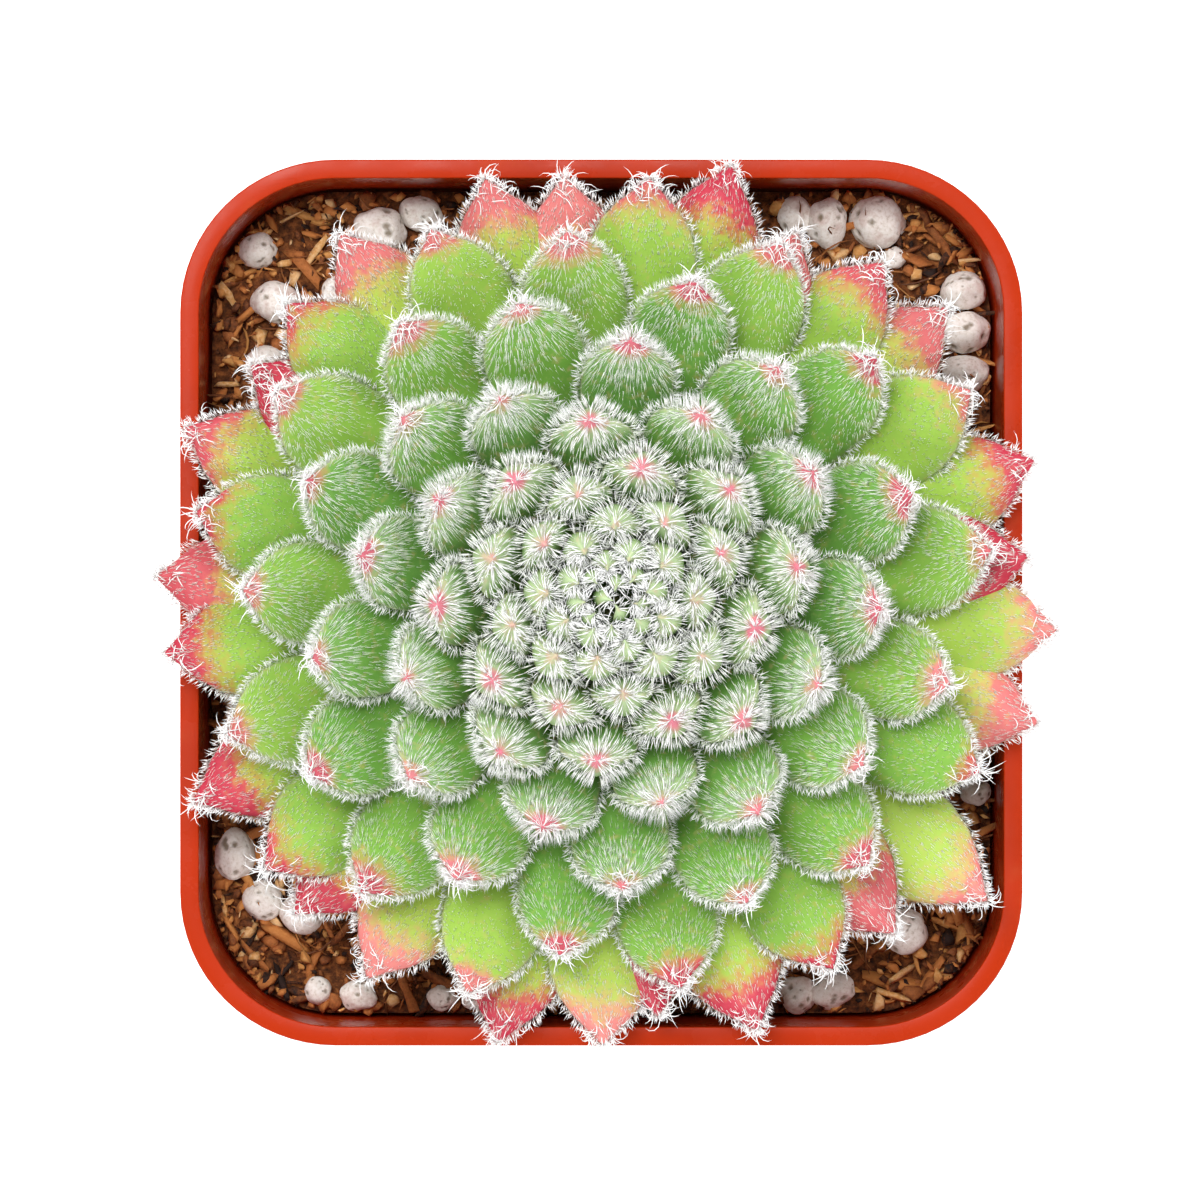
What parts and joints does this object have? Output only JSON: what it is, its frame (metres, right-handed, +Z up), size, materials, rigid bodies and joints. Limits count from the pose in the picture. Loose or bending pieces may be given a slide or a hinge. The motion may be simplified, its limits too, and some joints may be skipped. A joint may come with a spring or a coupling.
{
  "type": "hens and chicks succulent in a pot",
  "caption": "Dense spiral rosette of plump pointed leaves on a short stem, rooted in potting mix in a thin square pot with round corners and a stepped collar.",
  "frame": {"origin": "middle of the flat underside of the pot, which stands on the surface", "axes": "+Z straight up through the pot and the plant; +X to the right and +Y away from the viewer, along the pot's sides"},
  "size_m": [0.0708, 0.071, 0.0785],
  "materials": {
    "pot_plastic": "moulded polypropylene, orange-red, semi-gloss, with faint scuffs",
    "potting_mix": "loose brown bark and coir with off-white pumice grains, matt",
    "leaf_flesh": "matt green leaf skin with crimson tips under short white hairs"
  },
  "bodies": {
    "root": {"pot": "pot_plastic", "potting_mix": "potting_mix", "rosette": "leaf_flesh"}
  },
  "joints": []
}
